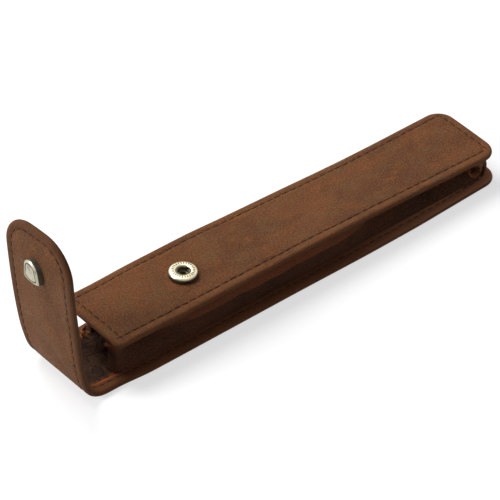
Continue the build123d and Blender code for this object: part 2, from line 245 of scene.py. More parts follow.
def inner_points(outline, d, gap):
    """Points that fill the middle of a panel."""
    rows = []
    vs = np.arange(-outline.half + d, outline.half - d, gap)
    for k, v in enumerate(vs):
        us = np.arange(outline.u0 + d + gap * (0.5 if k % 2 else 0.0), outline.u1 - d, gap)
        rows.append(np.stack([us, np.full(len(us), v)], 1))
    p = np.concatenate(rows)
    return p[outline.inset(p[:, 0], p[:, 1]) > d + 0.55 * gap]


HOLE_SIDES = 40
HOLE_MARGIN = 0.5  # from a hole's rim to the nearest point beside it


def flat_panel(outline, profile, gap, fill0, fill1, trim=None, hole=None):
    """A closed panel as (u, v, h) points and faces. profile is (inset, h) from
    the middle of the outside, round the edge, to the middle of the inside, and
    fill0 and fill1 give the levels there. hole is (u, v, radius)."""
    loops = [outline.ring(d) for d, _ in profile]
    if trim is not None:
        loops = [trim(loop, d, h) for loop, (d, h) in zip(loops, profile)]
    n = len(loops[0])
    points = [np.column_stack([loop, np.full(n, h)]) for loop, (_, h) in zip(loops, profile)]
    faces = []
    for k in range(len(loops) - 1):
        a, b = k * n, (k + 1) * n
        faces += [(a + i, b + i, b + (i + 1) % n, a + (i + 1) % n) for i in range(n)]
    count = len(loops) * n
    rims = []
    for which, (fill, last) in enumerate(((fill0, 0), (fill1, len(loops) - 1))):
        inner = inner_points(outline, profile[last][0], gap)
        edges = []
        if hole is not None:
            a = 2 * math.pi * np.arange(HOLE_SIDES) / HOLE_SIDES
            rim = np.column_stack([hole[0] + hole[2] * np.cos(a), hole[1] + hole[2] * np.sin(a)])
            away = np.hypot(inner[:, 0] - hole[0], inner[:, 1] - hole[1])
            inner = np.concatenate([rim, inner[away > hole[2] + HOLE_MARGIN]])
            edges = [(n + i, n + (i + 1) % HOLE_SIDES) for i in range(HOLE_SIDES)]
            rims.append(count)
        both = np.concatenate([loops[last], inner])
        made = delaunay_2d_cdt([tuple(p) for p in both], edges, [list(range(n))], 1, 1e-6, True)
        own = [olds[0] for olds in made[3]]
        index = [last * n + i for i in range(n)] + [count + k for k in range(len(inner))]
        points.append(np.column_stack([inner, fill(inner[:, 0], inner[:, 1])]))
        count += len(inner)
        for face in made[2]:
            if hole is not None and all(n <= own[i] < n + HOLE_SIDES for i in face):
                continue
            f = [index[own[i]] for i in face]
            faces.append(f if which == 0 else f[::-1])
    for i in range(HOLE_SIDES if hole is not None else 0):
        j = (i + 1) % HOLE_SIDES
        faces.append((rims[0] + j, rims[1] + j, rims[1] + i, rims[0] + i))
    return np.concatenate(points), faces


def make(name, points, faces, material, flat=None, extra=None):
    """A mesh object from millimetre points, with its flat coordinates kept."""
    mesh = bpy.data.meshes.new(name)
    mesh.from_pydata([tuple(p) for p in np.asarray(points) * MM], [], [tuple(f) for f in faces])
    mesh.polygons.foreach_set("use_smooth", [True] * len(mesh.polygons))
    if flat is not None:
        a = mesh.attributes.new("flat", "FLOAT_VECTOR", "POINT")
        a.data.foreach_set("vector", np.asarray(flat, np.float32).ravel())
    for key, values in (extra or {}).items():
        a = mesh.attributes.new(key, "FLOAT", "POINT")
        a.data.foreach_set("value", np.asarray(values, np.float32))
    mesh.validate()
    mesh.update()
    obj = bpy.data.objects.new(name, mesh)
    bpy.context.scene.collection.objects.link(obj)
    mesh.materials.append(material)
    return obj


def tube_faces(count, n, first=0, turn=1):
    """A closed tube of count loops with n points each, from point first on.
    turn is -1 when the loops run the other way round."""
    faces = []
    for k in range(count - 1):
        for i in range(n):
            a, b = first + k * n + i, first + k * n + (i + 1) % n
            faces.append((a, b, b + n, a + n) if turn > 0 else (a, a + n, b + n, b))
    faces.append([first + i for i in range(n)][::-turn])
    faces.append([first + (count - 1) * n + i for i in range(n)][::turn])
    return faces


BESIDE_SEAM = 0.03  # two more cuts keep the shading even across the seam


def cut_flat(points, faces, at):
    """The panel cut across at u = at, as two halves that share their seam."""
    bm = bmesh.new()
    vs = [bm.verts.new(p) for p in points]
    for f in faces:
        bm.faces.new([vs[i] for i in f])
    for offset in (-BESIDE_SEAM, BESIDE_SEAM, 0.0):
        bmesh.ops.bisect_plane(bm, geom=bm.verts[:] + bm.edges[:] + bm.faces[:], dist=1e-5,
                               plane_co=(at + offset, 0, 0), plane_no=(1, 0, 0))
    bm.verts.ensure_lookup_table()
    bm.verts.index_update()
    halves = []
    for keep in (-1, 1):
        index, pts, fcs = {}, [], []
        for f in bm.faces:
            if (f.calc_center_median().x - at) * keep < 0:
                continue
            row = []
            for v in f.verts:
                if v.index not in index:
                    index[v.index] = len(pts)
                    pts.append(tuple(v.co))
                row.append(index[v.index])
            fcs.append(row)
        halves.append((np.array(pts), fcs))
    bm.free()
    return halves


# Materials

def new_material(name):
    m = bpy.data.materials.new(name)
    m.use_nodes = True
    nt = m.node_tree
    nt.nodes.clear()
    out = nt.nodes.new("ShaderNodeOutputMaterial")
    bsdf = nt.nodes.new("ShaderNodeBsdfPrincipled")
    nt.links.new(bsdf.outputs[0], out.inputs[0])
    return m, nt, bsdf


def link(nt, a, b):
    nt.links.new(a, b)


def node(nt, kind, **props):
    n = nt.nodes.new(kind)
    for k, v in props.items():
        setattr(n, k, v)
    return n


def put(n, values):
    """Sets a node's own inputs to plain values."""
    for key, value in values.items():
        n.inputs[key].default_value = value


def attribute(nt, name, kind="Fac"):
    return node(nt, "ShaderNodeAttribute", attribute_name=name).outputs[kind]


def coords(nt, kind="Object"):
    return node(nt, "ShaderNodeTexCoord").outputs[kind]


def noise(nt, vector, scale, detail=4.0, rough=0.55, distortion=0.0):
    n = node(nt, "ShaderNodeTexNoise")
    put(n, {"Scale": scale, "Detail": detail, "Roughness": rough, "Distortion": distortion})
    link(nt, vector, n.inputs["Vector"])
    return n.outputs[0]


def cell_edges(nt, vector, scale):
    """Distance from the nearest crack between irregular cells."""
    n = node(nt, "ShaderNodeTexVoronoi", feature="DISTANCE_TO_EDGE")
    put(n, {"Scale": scale})
    link(nt, vector, n.inputs["Vector"])
    return n.outputs["Distance"]


def ramp(nt, value, low, high, a=0.0, b=1.0):
    n = node(nt, "ShaderNodeMapRange", interpolation_type="SMOOTHSTEP")
    link(nt, value, n.inputs["Value"])
    put(n, {"From Min": low, "From Max": high, "To Min": a, "To Max": b})
    return n.outputs[0]


def maths(nt, op, a, b=None):
    n = node(nt, "ShaderNodeMath", operation=op)
    for k, x in enumerate((a, b)):
        if x is None:
            continue
        if isinstance(x, (int, float)):
            n.inputs[k].default_value = x
        else:
            link(nt, x, n.inputs[k])
    return n.outputs[0]


def times(nt, a, b):
    return maths(nt, "MULTIPLY", a, b)


def mix(nt, factor, a, b):
    n = node(nt, "ShaderNodeMix", data_type="RGBA")
    for key, x in ((0, factor), (6, a), (7, b)):
        if isinstance(x, (int, float)):
            n.inputs[key].default_value = x
        elif isinstance(x, tuple):
            n.inputs[key].default_value = x + (1.0,)
        else:
            link(nt, x, n.inputs[key])
    return n.outputs[2]


def tinted(nt, colour, layers):
    """Lays tints on a colour, each up to its share as its mask goes from a to b."""
    for mask, a, b, share, tint in layers:
        colour = mix(nt, ramp(nt, mask, a, b, 0.0, share), colour, tint)
    return colour


def stretch(nt, vector, scale):
    n = node(nt, "ShaderNodeMapping")
    put(n, {"Scale": scale})
    link(nt, vector, n.inputs["Vector"])
    return n.outputs[0]


def bumped(nt, bsdf, height, distance, strength=1.0, before=None):
    n = node(nt, "ShaderNodeBump")
    put(n, {"Strength": strength, "Distance": distance})
    link(nt, height, n.inputs["Height"])
    if before is not None:
        link(nt, before, n.inputs["Normal"])
    link(nt, n.outputs[0], bsdf.inputs["Normal"])
    return n.outputs[0]


def srgb(r, g, b):
    def one(c):
        c = c / 255.0
        return c / 12.92 if c <= 0.04045 else ((c + 0.055) / 1.055) ** 2.4
    return (one(r), one(g), one(b))


LIT_HEM_FROM, LIT_HEM_TO = -85.0, -140.0  # painted light: the hem is painted lighter towards the closed end


def leather(name, base, dark, warm, olive, raw, rough=0.66, grain=1.0, worn=1.0):
    """Oiled, waxed leather: mottled, finely grained, rubbed along its edges.
    raw is the colour of its hem, of its torn edge, which on the gusset also paints light on its
    swelled band, and of the painted light on the hem towards the closed end."""
    m, nt, bsdf = new_material(name)
    hem_colour, torn_and_lit_colour, lit_hem_colour = raw
    flat = attribute(nt, "flat", "Vector")
    inset, wear, inner, dust = (attribute(nt, key) for key in ("inset", "wear", "inner", "dust"))
    long_grain = stretch(nt, flat, (0.45, 1.0, 1.0))

    big = noise(nt, long_grain, 0.055, 5.0, 0.6, 0.6)
    mid = noise(nt, long_grain, 0.19, 6.0, 0.62, 0.3)
    small = noise(nt, flat, 0.9, 6.0, 0.7)
    specks = noise(nt, flat, 1.7, 4.0, 0.66)
    pebbles = cell_edges(nt, flat, 1.7)
    scratch = noise(nt, stretch(nt, flat, (0.28, 2.6, 1.0)), 0.7, 5.0, 0.65, 1.2)

    blotches = noise(nt, flat, 0.11, 5.0, 0.65, 0.8)
    colour = tinted(nt, base, (
        (big, 0.39, 0.62, 1.0, dark), (mid, 0.49, 0.68, 0.75, warm),
        (blotches, 0.48, 0.68, 0.7, olive)))
    dusty = times(nt, dust, ramp(nt, big, 0.35, 0.6, 1.0, 0.35))
    colour = mix(nt, dusty, colour, DUST)
    patches = noise(nt, flat, 0.07, 3.0, 0.5, 0.4)
    stain = times(nt, dust, ramp(nt, patches, 0.5, 0.68, 0.0, 1.2))
    colour = mix(nt, stain, colour, dark)
    colour = tinted(nt, colour, (
        (small, 0.35, 0.70, 0.45, dark), (specks, 0.50, 0.60, 0.62, warm),
        (specks, 0.50, 0.40, 0.76, dark), (pebbles, 0.07, 0.0, 0.35, dark),
        (scratch, 0.58, 0.70, 0.25, olive)))
    rubbed = times(nt, ramp(nt, inset, 2.6, 0.9), ramp(nt, small, 0.30, 0.62))
    colour = mix(nt, times(nt, rubbed, 0.35 * worn), colour, warm)
    colour = tinted(nt, colour, ((inset, 2.2, 0.4, 0.2, dark),))
    # The flap's edges are darkened: partly burnish, partly painted shade of its shaded edge.
    burnish_and_shade = times(nt, dust, ramp(nt, inset, 3.4, 2.4, 0.0, 1.5))
    colour = mix(nt, burnish_and_shade, colour, dark)
    seam = times(nt, ramp(nt, inset, 2.6, 2.95), ramp(nt, inset, 3.4, 3.05))
    colour = mix(nt, times(nt, seam, 0.22), colour, dark)
    colour = mix(nt, times(nt, inner, 0.65), colour, hem_colour)
    # Painted light: the hem is painted lighter towards the closed end.
    place = node(nt, "ShaderNodeSeparateXYZ")
    link(nt, flat, place.inputs[0])
    painted_hem_light = ramp(nt, place.outputs[0], LIT_HEM_FROM, LIT_HEM_TO, 0.0, 0.95)
    colour = mix(nt, times(nt, inner, painted_hem_light), colour, lit_hem_colour)
    # The torn hem's raw colour. On the gusset this mask lays painted light on the swelled band.
    torn = times(nt, wear, ramp(nt, small, 0.34, 0.56, 0.45, 1.0))
    colour = mix(nt, torn, colour, torn_and_lit_colour)
    link(nt, colour, bsdf.inputs["Base Color"])

    creases = noise(nt, stretch(nt, flat, (0.5, 1.4, 1.0)), 1.5, 5.0, 0.7, 0.7)
    fine = noise(nt, flat, 7.0, 3.0, 0.6)
    height = times(nt, ramp(nt, pebbles, 0.0, 0.16), 0.34)
    height = maths(nt, "ADD", height, times(nt, creases, 0.9))
    height = maths(nt, "ADD", height, times(nt, fine, 0.22))
    soft = bumped(nt, bsdf, noise(nt, flat, 0.22, 3.0, 0.5), 0.0011 * grain, 0.7)
    bumped(nt, bsdf, height, 0.0004 * grain, 1.0, soft)
    shine = ramp(nt, mid, 0.3, 0.7, rough - 0.06, rough + 0.12)
    link(nt, shine, bsdf.inputs["Roughness"])
    put(bsdf, {"Specular IOR Level": 0.14})
    return m


def suede(name, base, dark, warm):
    """The rough, cracked inside of the leather."""
    m, nt, bsdf = new_material(name)
    flat = attribute(nt, "flat", "Vector")
    wear = attribute(nt, "wear")
    big = noise(nt, flat, 0.16, 5.0, 0.65, 0.7)
    small = noise(nt, flat, 1.6, 6.0, 0.7)
    cracks = cell_edges(nt, stretch(nt, flat, (0.9, 0.5, 1.0)), 0.42)
    colour = tinted(nt, base, (
        (big, 0.38, 0.62, 1.0, dark), (small, 0.5, 0.7, 0.5, warm),
        (cracks, 0.09, 0.0, 0.55, dark)))
    colour = mix(nt, wear, colour, warm)
    link(nt, colour, bsdf.inputs["Base Color"])
    height = maths(nt, "ADD", small, times(nt, ramp(nt, cracks, 0.0, 0.12), 0.5))
    bumped(nt, bsdf, height, 0.0005, 0.9)
    put(bsdf, {"Roughness": 0.92, "Specular IOR Level": 0.15})
    return m


def metal(name, bright, dark, rough, shade_print_name=None, amount=0.5, dark_sides=False):
    """Pale antiqued metal, darkened where its finish stayed in its hollows. dark_sides darkens
    every face that is not turned towards −x, and a named attribute lays painted shade and print on
    it.
    """
    m, nt, bsdf = new_material(name)
    here = coords(nt)
    big = noise(nt, here, 420.0, 4.0, 0.6)
    small = noise(nt, here, 1900.0, 4.0, 0.6)
    hidden = node(nt, "ShaderNodeAmbientOcclusion", samples=8, only_local=True)
    put(hidden, {"Distance": 0.0005})
    colour = tinted(nt, bright, (
        (big, 0.45, 0.72, amount, dark), (small, 0.55, 0.75, amount * 0.7, dark),
        (hidden.outputs["AO"], 0.92, 0.55, 0.9, dark)))
    # Darker on every face that is not turned towards −x.
    if dark_sides:
        face = node(nt, "ShaderNodeSeparateXYZ")
        link(nt, coords(nt, "Normal"), face.inputs[0])
        colour = tinted(nt, colour, ((face.outputs[0], -0.80, -0.35, 0.75, dark),))
    # Painted shade and print, from the named attribute.
    if shade_print_name:
        colour = mix(nt, attribute(nt, shade_print_name), colour, dark)
    link(nt, colour, bsdf.inputs["Base Color"])
    link(nt, ramp(nt, small, 0.3, 0.7, rough - 0.07, rough + 0.12), bsdf.inputs["Roughness"])
    bumped(nt, bsdf, small, 0.00004, 0.6)
    put(bsdf, {"Metallic": 0.85})
    return m


def thread_material(name, colour, light):
    m, nt, bsdf = new_material(name)
    flat = attribute(nt, "flat", "Vector")
    twist = noise(nt, stretch(nt, flat, (1.0, 0.6, 1.0)), 3.0, 3.0, 0.6)
    tint = mix(nt, ramp(nt, twist, 0.4, 0.65), colour, light)
    link(nt, tint, bsdf.inputs["Base Color"])
    bumped(nt, bsdf, twist, 0.00012, 0.6)
    put(bsdf, {"Roughness": 0.85, "Specular IOR Level": 0.15})
    return m


def board_material(name, colour, dark):
    m, nt, bsdf = new_material(name)
    fibres = noise(nt, coords(nt), 900.0)
    tint = mix(nt, ramp(nt, fibres, 0.3, 0.7), colour, dark)
    link(nt, tint, bsdf.inputs["Base Color"])
    bumped(nt, bsdf, fibres, 0.0002)
    return m


BROWN = srgb(128, 80, 47)
UMBER = srgb(92, 57, 34)
RUST = srgb(148, 92, 53)
MOSS = srgb(114, 88, 54)
DUST = srgb(150, 118, 92)
# The hem, the torn edge, and the hem's painted light near the closed end. The torn edge's colour
# is also the gusset's painted light.
RAW_EDGE_AND_LIGHT = (srgb(110, 64, 40), srgb(176, 94, 48), srgb(182, 122, 88))
cover = leather("oiled_leather", BROWN, UMBER, RUST, MOSS, RAW_EDGE_AND_LIGHT)
# The gusset is the cover's leather painted darker: painted shade on its wall.
shaded_gusset_skin = leather("gusset_leather", srgb(98, 60, 39), srgb(58, 36, 26), srgb(120, 72, 45),
                      srgb(78, 55, 38), RAW_EDGE_AND_LIGHT, rough=0.74, grain=1.2, worn=0.4)
lining_skin = suede("suede_lining", srgb(80, 54, 39), srgb(48, 32, 24), srgb(112, 74, 50))
thread = thread_material("dark_thread", srgb(20, 15, 12), srgb(40, 30, 23))
frayed = thread_material("raw_edge", srgb(150, 84, 44), srgb(180, 112, 66))
pale_metal = metal("antique_metal", srgb(244, 234, 200), srgb(52, 44, 30), 0.36, "shade_and_print", 0.25)
shield_metal = metal("shield_metal", srgb(186, 181, 160), srgb(52, 47, 36), 0.42, None, 0.45, True)
spring_metal = metal("spring_wire", srgb(104, 96, 78), srgb(44, 40, 32), 0.4, None, 0.4)
rivet_metal = metal("rivet_metal", srgb(150, 140, 114), srgb(44, 38, 28), 0.38, None, 0.6)
board_fill = board_material("board_fibre", srgb(168, 150, 120), srgb(138, 120, 94))


# The cover: turned edges, the pressed line of the seam, and the hem's cut edge

EDGE_REACH = 1.15  # how far in the round of a turned edge reaches
EDGE_STEPS = 8


def edge_arc():
    """(inset, level) round a turned edge."""
    turn = []
    for k in range(EDGE_STEPS + 1):
        t = math.radians(-90 + 180 / EDGE_STEPS * k)
        turn.append((EDGE_REACH * (1 - math.cos(t)),
                     THICK / 2 + (THICK / 2 - 0.03) * math.sin(t)))
    return turn


# (inset, level) from the middle of the outside in to the edge, and back inside
SEAM_OUT = [(6.2, 0.0), (5.0, 0.0), (4.3, 0.01), (3.8, 0.05), (3.45, 0.12), (3.2, 0.22),
            (3.0, 0.26), (2.8, 0.22), (2.55, 0.12), (2.2, 0.05), (1.7, 0.02)]
HEM_IN = [(1.7, 2.2), (2.2, 2.19), (2.55, 2.13), (2.8, 2.07), (3.0, 2.04), (3.2, 2.07),
          (3.5, 2.14), (4.0, 2.2), (4.6, 2.2), (4.85, 2.15), (4.98, 2.03), (5.02, 1.8),
          (5.04, HEM_FLOOR), (6.2, HEM_FLOOR)]
COVER_PROFILE = SEAM_OUT + edge_arc() + HEM_IN
LINING_PROFILE = [(6.4, BOARD_LEVEL), (5.2, BOARD_LEVEL), (5.12, 1.45), (5.12, 1.75),
                  (5.2, 1.88), (5.45, 1.93), (6.4, 1.92)]
HEM_CUT = (4.7, 5.1)  # insets between which the hem's cut edge wanders
COVER_GAP, LINING_GAP = 1.35, 1.3
RING_PITCH = 0.85

# How far the strip has drifted towards the near side, along u
STRIP_DRIFT = [(-165, 0.0), (-159, 0.15), (-153, 0.4), (-141, 0.9), (-126, 1.5), (-104, 1.75),
               (-73, 1.45), (-24, 1.4), (-9, 1.3), (0, 1.25), (6, 1.2), (73, 1.2)]
strip_outline = Outline(STRIP_END, STRIP_TIP - 1.5, 15.7, 6.4, 11.7, RING_PITCH,
                        STRIP_DRIFT, tip=1.5, power=2.1)
front_outline = Outline(0.0, FRONT_LENGTH, 15.1, 1.8, 6.4, RING_PITCH)


def rough_hem(loop, d, h):
    """The hem's cut edge wanders a little."""
    if not HEM_CUT[0] < d < HEM_CUT[1] or h < 1.2:
        return loop
    k = np.arange(len(loop))
    away = 0.12 * np.sin(k * 0.9) * np.sin(k * 0.37 + 1) + 0.08 * np.sin(k * 2.1 + 2)
    return loop + beside(np.roll(loop, -1, 0) - np.roll(loop, 1, 0)) * away[:, None]


def lay_panel(name, outline, place, panel, seam, material, shades):
    """The panel as one object, or as two that meet at the seam. shades gives
    what the material reads, from a point's flat u, its inset and its level."""
    parts = [panel] if seam is None else cut_flat(*panel, seam)
    made = []
    for part, (p, faces) in zip("ab", parts):
        flat_u, flat_v, h = p.T
        u, v = outline.swollen(flat_u, flat_v)
        inset = outline.inset(flat_u, flat_v)
        made.append(make(name if seam is None else f"{name}_{part}", place(u, v, h), faces,
                         material, flat=np.stack([u, v, h * 2.0], 1),
                         extra={"inset": inset, **shades(flat_u, inset, h)}))
    return made


def cover_shades(u, inset, h):
    """Where the cover's inside and its raw cut edge are."""
    inner = smooth((h - 1.5) / 0.5)
    wear = np.where((h > 1.6) & (inset > 4.75) & (inset < 5.3), 0.7, 0.0)
    return {"wear": wear, "inner": inner, "dust": 0 * inner}


def strip_shades(u, inset, h):
    """The same, with the hem torn at the base fold and the flap gone dusty. The flap's edges are
    darkened, partly by burnish and partly by painted shade.
    """
    shades = cover_shades(u, inset, h)
    inner = shades["inner"]
    torn = np.exp(-((u - 1.0) / 9.0) ** 2) * inner * smooth((inset - 3.4) / 1.4)
    shades["wear"] = np.maximum(shades["wear"], torn)
    shades["dust"] = 0.42 * smooth((u - 4.0) / 12.0) * (1 - inner)
    return shades


def build_cover(name, outline, place, seam, shades, hole=None):
    outside = lambda u, v: np.zeros(len(u))
    inside = lambda u, v: np.full(len(u), HEM_FLOOR)
    panel = flat_panel(outline, COVER_PROFILE, COVER_GAP, outside, inside, rough_hem, hole)
    return lay_panel(name, outline, place, panel, seam, cover, shades)


def build_lining(name, outline, place, seam):
    under = lambda u, v: np.full(len(u), BOARD_LEVEL)
    face = lambda u, v: (LINED - 0.1 + 0.07 * np.sin(u * 0.9 + np.sin(v * 1.1) * 1.5)
                         * np.sin(v * 0.8 + 1.7))
    panel = flat_panel(outline, LINING_PROFILE, LINING_GAP, under, face)
    return lay_panel(name, outline, place, panel, seam, lining_skin,
                     lambda u, inset, h: {"wear": np.zeros(len(u))})


strip_a, strip_b = build_cover("strip_cover", strip_outline, place_strip, SEAM, strip_shades)
strip_lining_a, strip_lining_b = build_lining("strip_lining", strip_outline, place_strip, SEAM)
front_cover, = build_cover("front_cover", front_outline, place_front, None, cover_shades,
                           (SNAP_U, SNAP_V, SNAP_HOLE))
front_inside, = build_lining("front_lining_skin", front_outline, place_front, None)


# Stitches

STITCH_WIDE, STITCH_THICK = 0.115, 0.13  # half widths of the thread
STITCH_SIDES, STITCH_POINTS = 6, 7
STITCH_RISE, STITCH_SUNK = 0.14, 0.10
STRIP_STITCH, FRONT_STITCH = 2.55, 2.6  # lengths of a stitch


def along(path, pitch, length, start=0.0):
    """Pieces of a path of (u, v) points, one for each stitch."""
    step = np.linalg.norm(np.diff(path, axis=0), axis=1)
    dist = np.concatenate([[0], np.cumsum(step)])
    rows = []
    a = start
    while a + length < dist[-1]:
        t = np.linspace(a, a + length, STITCH_POINTS)
        rows.append(np.stack([np.interp(t, dist, path[:, 0]), np.interp(t, dist, path[:, 1])], 1))
        a += pitch
    return rows


def outside_level(inset):
    """Level of a panel's outside at an inset."""
    d, h = np.array(SEAM_OUT[::-1]).T
    arc_d, arc_h = np.array([p for p in edge_arc() if p[1] <= THICK / 2]).T
    return np.interp(inset, np.concatenate([arc_d[::-1], d]), np.concatenate([arc_h[::-1], h]))


def inside_level(inset):
    """Level of the hem's face at an inset."""
    arc = [p for p in edge_arc() if p[1] >= THICK / 2]
    d, h = np.array(arc + [p for p in HEM_IN if p[0] < 4.99]).T
    return np.interp(inset, d, h)


def stitch_mesh(rows, place, outline, level, sign, seed):
    """Short rounded threads that rise from the leather and go back into it."""
    rng = np.random.default_rng(seed)
    points, faces, flats, middles = [], [], [], []
    sides = STITCH_SIDES
    for row in rows:
        lean = rng.uniform(-0.16, 0.16, 2)
        lift = rng.uniform(0.85, 1.15)
        normal = beside(np.gradient(row, axis=0))
        first = len(points)
        for k, (p, nrm) in enumerate(zip(row, normal)):
            t = k / (len(row) - 1)
            rise = (STITCH_RISE * math.sin(math.pi * t) ** 0.6 - STITCH_SUNK) * lift
            side = lean[0] * (1 - t) + lean[1] * t
            size = 1.0 if 0 < k < len(row) - 1 else 0.75
            for j in range(sides):
                a = 2 * math.pi * j / sides
                across = side + math.cos(a) * STITCH_WIDE * size
                points.append((*(p + nrm * across), rise + math.sin(a) * STITCH_THICK * size))
                middles.append(p)
                flats.append((p[0] * 2, p[1] * 2, a))
        faces += tube_faces(len(row), sides, first, -1)
    p = np.array(points)
    base = level(outline.inset(*outline.flattened(*np.array(middles).T)))
    return place(p[:, 0], p[:, 1], base - sign * p[:, 2]), faces, np.array(flats)


def closed_path(outline, d):
    """The whole outline at an inset, back to its first point."""
    ring = outline.ring(d)
    return np.stack(outline.swollen(*np.concatenate([ring, ring[:1]]).T), 1)


def sew(name, rows, place, outline, seed):
    """Every stitch, on the panel's outside and again on its inside."""
    points, faces, flats = [], [], []
    count = 0
    for level, sign in ((outside_level, 1), (inside_level, -1)):
        p, f, fl = stitch_mesh(rows, place, outline, level, sign, seed)
        points.append(p)
        flats.append(fl)
        faces += [[i + count for i in face] for face in f]
        count += len(p)
    return make(name, np.concatenate(points), faces, thread,
                flat=np.concatenate(flats))


SEWN_TO = SEAM - 1.5  # stitches up to here belong to the first mesh
strip_path = closed_path(strip_outline, STITCH_INSET)
strip_rows = along(strip_path, STITCH_PITCH, STRIP_STITCH)
rows_a = [r for r in strip_rows if r[:, 0].mean() < SEWN_TO]
rows_b = [r for r in strip_rows if r[:, 0].mean() >= SEWN_TO]
strip_sewing_a = sew("strip_stitches_a", rows_a, place_strip, strip_outline, seed=1)
strip_sewing_b = sew("strip_stitches_b", rows_b, place_strip, strip_outline, seed=2)

# One row runs across the front's mouth, the other round the rest
NEAR_ROW, FAR_ROW, MOUTH_ROW, END_ROW = -11.8, 12.15, 3.4, FRONT_LENGTH - 3.0
mouth_path = [(MOUTH_ROW, -14.2), (MOUTH_ROW, FAR_ROW)]
round_path = [(MOUTH_ROW, FAR_ROW), (END_ROW, FAR_ROW), (END_ROW, NEAR_ROW), (0.4, NEAR_ROW)]
front_rows = along(np.array(mouth_path), STITCH_PITCH, FRONT_STITCH, 0.2)
front_rows += along(np.array(round_path), STITCH_PITCH, FRONT_STITCH, 0.6)
front_sewing = sew("front_stitches", front_rows, place_front, front_outline, seed=3)


FIBRES = 300
FIBRE_U, FIBRE_SPREAD = -1.0, 6.0  # middle and deviation of where they grow
FIBRE_SIZE = 0.07


def build_fray():
    """Short torn fibres along the hem's cut edge, where it turns up at the fold."""
    rng = np.random.default_rng(7)
    cut_edge = strip_outline.half - 4.9
    points, faces, flats = [], [], []
    for _ in range(FIBRES):
        side = rng.choice((-1.0, 1.0))
        u = rng.normal(FIBRE_U, FIBRE_SPREAD)
        start = np.array([u, side * (cut_edge - rng.uniform(0.0, 0.3)), rng.uniform(1.9, 2.2)])
        away = np.array([rng.uniform(-0.6, 0.6), -side * rng.uniform(0.1, 0.9),
                         rng.uniform(0.05, 0.4)])
        bend = np.array([rng.uniform(-0.3, 0.3), rng.uniform(-0.2, 0.2),
                         rng.uniform(-0.25, 0.0)])
        if u > SEAM - 2.0:
            continue
        first = len(points)
        for t in (0.0, 0.35, 0.7, 1.0):
            p = start + away * t + bend * t * t
            size = FIBRE_SIZE * (1 - 0.6 * t)
            for j in range(3):
                a = 2 * math.pi * j / 3
                points.append((p[0] + size * math.cos(a), p[1], p[2] + size * math.sin(a)))
                flats.append((u * 3, t * 4, a))
        faces += tube_faces(4, 3, first, -1)
    p = np.array(points)
    u, v = strip_outline.swollen(p[:, 0], p[:, 1])
    return make("hem_fray", place_strip(u, v, p[:, 2]), faces, frayed,
                flat=np.array(flats))


hem_fray = build_fray()


# Bodies: the strip's pieces keep their bend over the two folds, and the front's are attached to
# the front's body

for obj in (strip_a, strip_lining_a, strip_sewing_a, hem_fray):
    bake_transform(obj)
for obj in (strip_b, strip_lining_b, strip_sewing_b):
    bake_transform(obj)
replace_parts(strip_a, "back_leather", "back_board", "spine_leather")
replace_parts(strip_b, "flap_leather", "flap_board")
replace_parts(strip_lining_a, "back_lining", "spine_lining")
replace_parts(strip_lining_b, "flap_lining")
for obj in (front_cover, front_inside, front_sewing):
    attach(obj, "front")
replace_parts(front_cover, "front_leather", "front_board")
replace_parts(front_inside, "front_lining")


# Gusset

GUSSET_HALF = 12.4  # from the middle line to the gusset's wall
GUSSET_END = 76.9  # the wall's x at the closed end
GUSSET_CORNER = 4.2
GUSSET_STEP = 1.2
CORNER_STEPS = 8
FAR_STOP = -72.4  # the far wall stops here, short of the mouth

# Along u, how far the near wall is swelled out, from 0 for folded in to 1
GUSSET_NEAR = [(0, 0.0), (14, 0.0), (24, 0.5), (36, 0.95), (58, 1.0), (84, 1.0), (98, 0.75),
               (108, 0.1), (114, 0.0), (163, 0.0)]
# Along u, how deep its inward fold is
GUSSET_HOLLOW = [(0, 1.5), (16, 1.5), (30, 0.6), (100, 0.4), (116, 0.9), (130, 1.6),
                 (142, 1.0), (156, 0.6), (163, 0.4)]


def corner(x, y, start):
    """A quarter turn of the gusset round (x, y), from start in degrees."""
    turns = [math.radians(start + 90 * k / CORNER_STEPS) for k in range(CORNER_STEPS + 1)]
    return [(x + GUSSET_CORNER * math.cos(t), y + GUSSET_CORNER * math.sin(t)) for t in turns]


def gusset_path():
    """From its curled end at the mouth, down the near side, round the closed
    end and back up the far side, which stops short of the mouth."""
    r, end, half = GUSSET_CORNER, GUSSET_END, GUSSET_HALF
    pts = [(-79.9, -6.6), (-80.9, -7.2), (-81.2, -8.3), (-81.2, -9.6), (-81.1, -10.9),
           (-80.7, -11.8), (-79.9, -12.3)]
    pts += [(x, -half) for x in np.arange(-78.9, end - r, GUSSET_STEP)]
    pts += corner(end - r, -half + r, -90)
    pts += [(end, y) for y in np.arange(-half + r + GUSSET_STEP, half - r, GUSSET_STEP)]
    pts += corner(end - r, half - r, 0)
    pts += [(x, half) for x in np.arange(end - r - GUSSET_STEP, FAR_STOP, -GUSSET_STEP)]
    pts += [(-73.6, 12.2), (-74.6, 11.6), (-75.1, 10.6), (-75.0, 9.5), (-74.3, 8.8)]
    return np.array(pts)


# The wall's two forms: (share of its height, distance outward)
FOLDED_IN = [(0.0, 0.1), (0.12, -0.2), (0.3, -1.3), (0.46, -2.3), (0.6, -2.2), (0.8, -1.3),
             (0.95, -0.5), (1.0, -0.4)]
SWELLED_OUT = [(0.0, 0.1), (0.2, 0.0), (0.4, -0.3), (0.54, -0.5), (0.61, 0.2), (0.65, 1.3),
               (0.70, 1.75), (0.80, 1.75), (0.92, 1.2), (1.0, 0.6)]

GUSSET_LEVELS = 31
GUSSET_SKIN = 0.35  # half its thickness
FLANGE = 1.6  # how far its sewn edges reach in
INSIDE_APART = 40  # moves the inside's grain away from the outside's
# The first is wear at the curled ends. The second is painted light on the top of the near wall's
# swelled band.
END_WEAR, SWELL_LIGHT = 0.30, 0.34


def edgeless(count, wear):
    """What the leather reads on a piece without a panel's edge."""
    return {"inset": np.full(count, 8.0), "wear": wear, "inner": np.zeros(count)}


